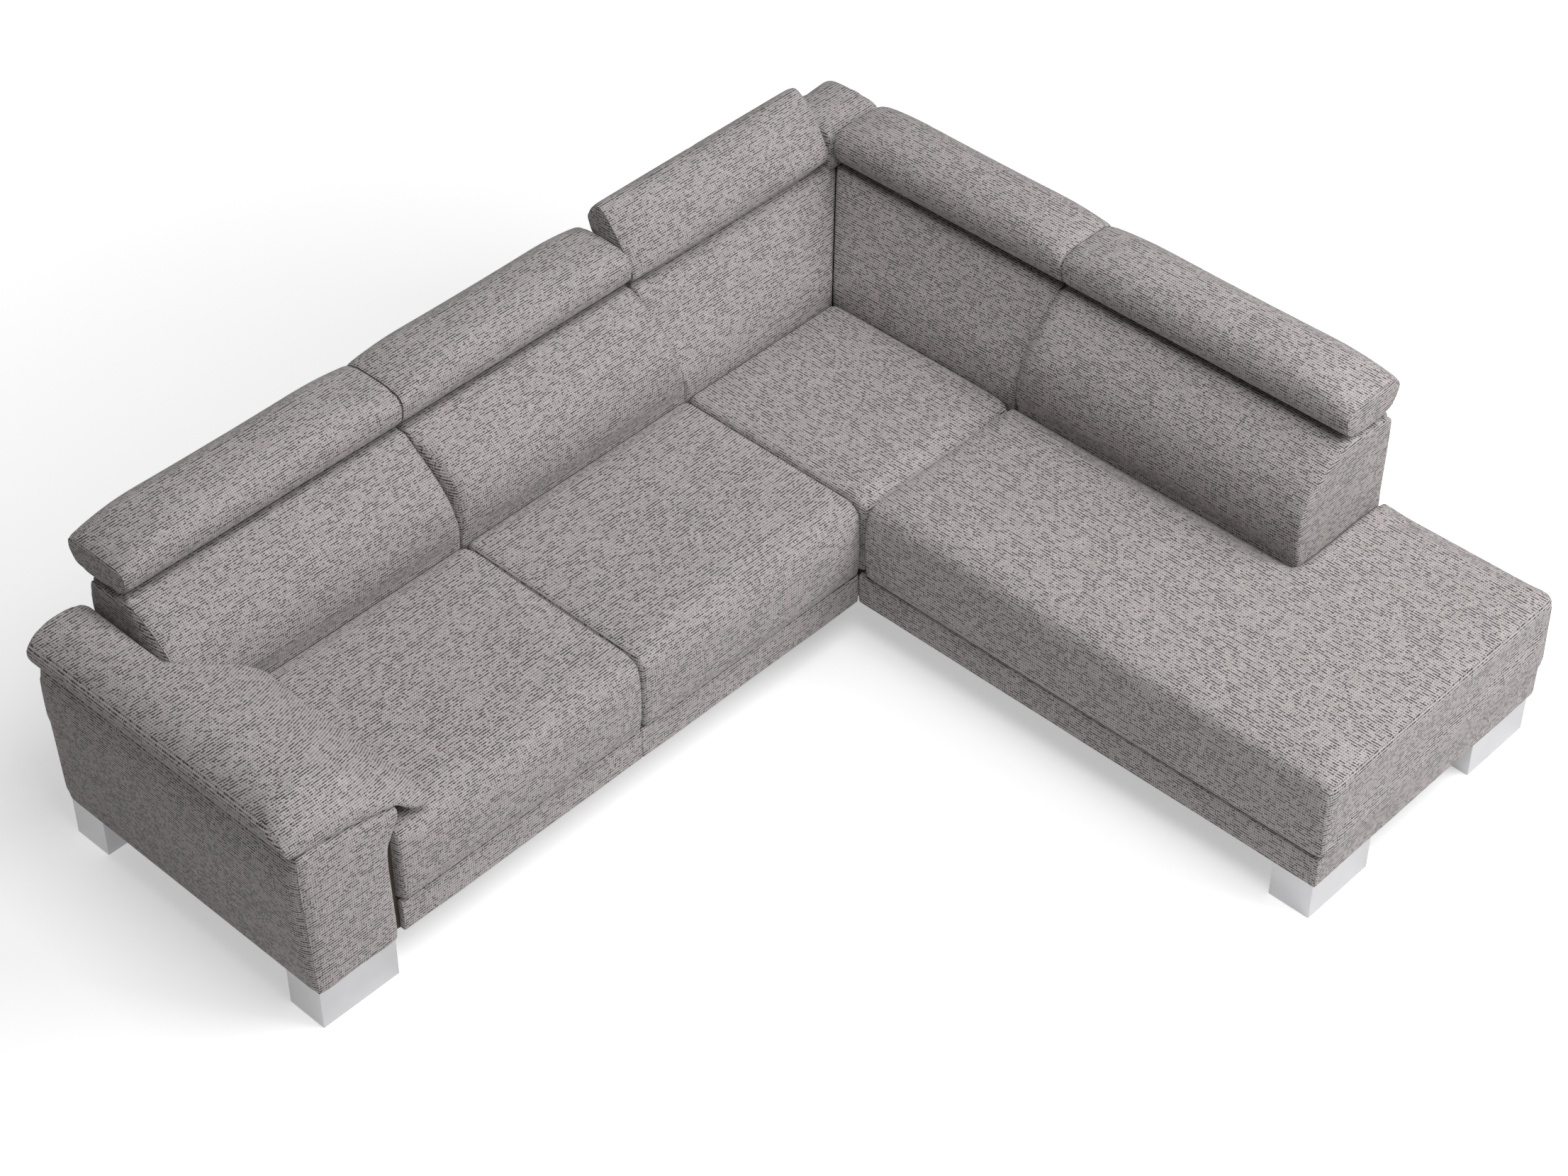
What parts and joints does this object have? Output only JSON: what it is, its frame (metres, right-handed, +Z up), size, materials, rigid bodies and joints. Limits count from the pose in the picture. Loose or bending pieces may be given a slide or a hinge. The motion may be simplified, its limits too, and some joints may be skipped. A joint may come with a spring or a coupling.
{
  "type": "corner sofa",
  "caption": "Upholstered corner sofa with a chaise on the right, one rounded arm on the left, block feet and click headrests that fold forward flat or stand up over the backs.",
  "frame": {"origin": "on the floor, below the middle of the sofa's bounding box with the headrests as pictured", "axes": "+X along the long wing from the arm to the chaise's outer side, +Y from the seats' fronts to the long wing's rear cover, +Z up"},
  "size_m": [2.5984, 2.2764, 0.9018],
  "materials": {
    "upholstery": "coarse woven, light taupe with dark slubs",
    "lining": "thin black spunbond cloth",
    "webbing": "black elastic webbing",
    "foot_metal": "satin",
    "steel": "zinc plated",
    "timber": "sawn",
    "plywood": "sanded",
    "plastic": "matte black"
  },
  "bodies": {
    "sofa_body": {"apron_chaise_front": "upholstery", "apron_chaise_inner": "upholstery", "apron_chaise_outer": "upholstery", "apron_left": "upholstery", "apron_middle": "upholstery", "arm_cover": "upholstery", "arm_frame": "timber", "arm_pad": "upholstery", "back_cushion_corner": "upholstery", "back_cushion_left": "upholstery", "back_cushion_middle": "upholstery", "back_cushion_right_chaise": "upholstery", "back_cushion_right_corner": "upholstery", "back_posts": "plywood", "back_rails": "plywood", "connector_sockets": "steel", "connector_tongues": "steel", "corner_block": "upholstery", "dust_cover_long": "lining", "dust_cover_wing": "lining", "foot_arm_front": "foot_metal", "foot_arm_rear": "foot_metal", "foot_blocks": "timber", "foot_chaise_left": "foot_metal", "foot_chaise_right": "foot_metal", "foot_corner_rear": "foot_metal", "foot_plates": "steel", "foot_wing_rear": "foot_metal", "hinge_bases": "steel", "hinge_pins": "steel", "long_cross_rails": "timber", "long_rails": "timber", "rear_cover_long": "upholstery", "rear_cover_wing": "upholstery", "seat_cushion_chaise": "upholstery", "seat_cushion_corner": "upholstery", "seat_cushion_left": "upholstery", "seat_cushion_middle": "upholstery", "seat_straps": "webbing", "support_legs": "plastic", "wing_cross_rails": "timber", "wing_side_rails": "timber"},
    "headrest_left": {"headrest_board_left": "plywood", "headrest_cushion_left": "upholstery", "hinge_arms_left": "steel"},
    "headrest_middle": {"headrest_board_middle": "plywood", "headrest_cushion_middle": "upholstery", "hinge_arms_middle": "steel"},
    "headrest_corner": {"headrest_board_corner": "plywood", "headrest_cushion_corner": "upholstery", "hinge_arms_corner": "steel"},
    "headrest_right_corner": {"headrest_board_right_corner": "plywood", "headrest_cushion_right_corner": "upholstery", "hinge_arms_right_corner": "steel"},
    "headrest_right_chaise": {"headrest_board_right_chaise": "plywood", "headrest_cushion_right_chaise": "upholstery", "hinge_arms_right_chaise": "steel"}
  },
  "joints": [
    {"name": "headrest_left_click", "type": "hinge", "parent": "sofa_body", "child": "headrest_left", "pos_m": [-0.72167, 0.98481, 0.756], "axis": [1, 0, 0], "range_deg": [0, 55]},
    {"name": "headrest_middle_click", "type": "hinge", "parent": "sofa_body", "child": "headrest_middle", "pos_m": [0.04083, 0.98481, 0.756], "axis": [1, 0, 0], "range_deg": [0, 55]},
    {"name": "headrest_corner_click", "type": "hinge", "parent": "sofa_body", "child": "headrest_corner", "pos_m": [0.74933, 0.98481, 0.756], "axis": [1, 0, 0], "range_deg": [-55, 0]},
    {"name": "headrest_right_corner_click", "type": "hinge", "parent": "sofa_body", "child": "headrest_right_corner", "pos_m": [1.14583, 0.56281, 0.756], "axis": [0, -1, 0], "range_deg": [0, 55]},
    {"name": "headrest_right_chaise_click", "type": "hinge", "parent": "sofa_body", "child": "headrest_right_chaise", "pos_m": [1.14583, -0.22569, 0.756], "axis": [0, -1, 0], "range_deg": [0, 55]}
  ]
}
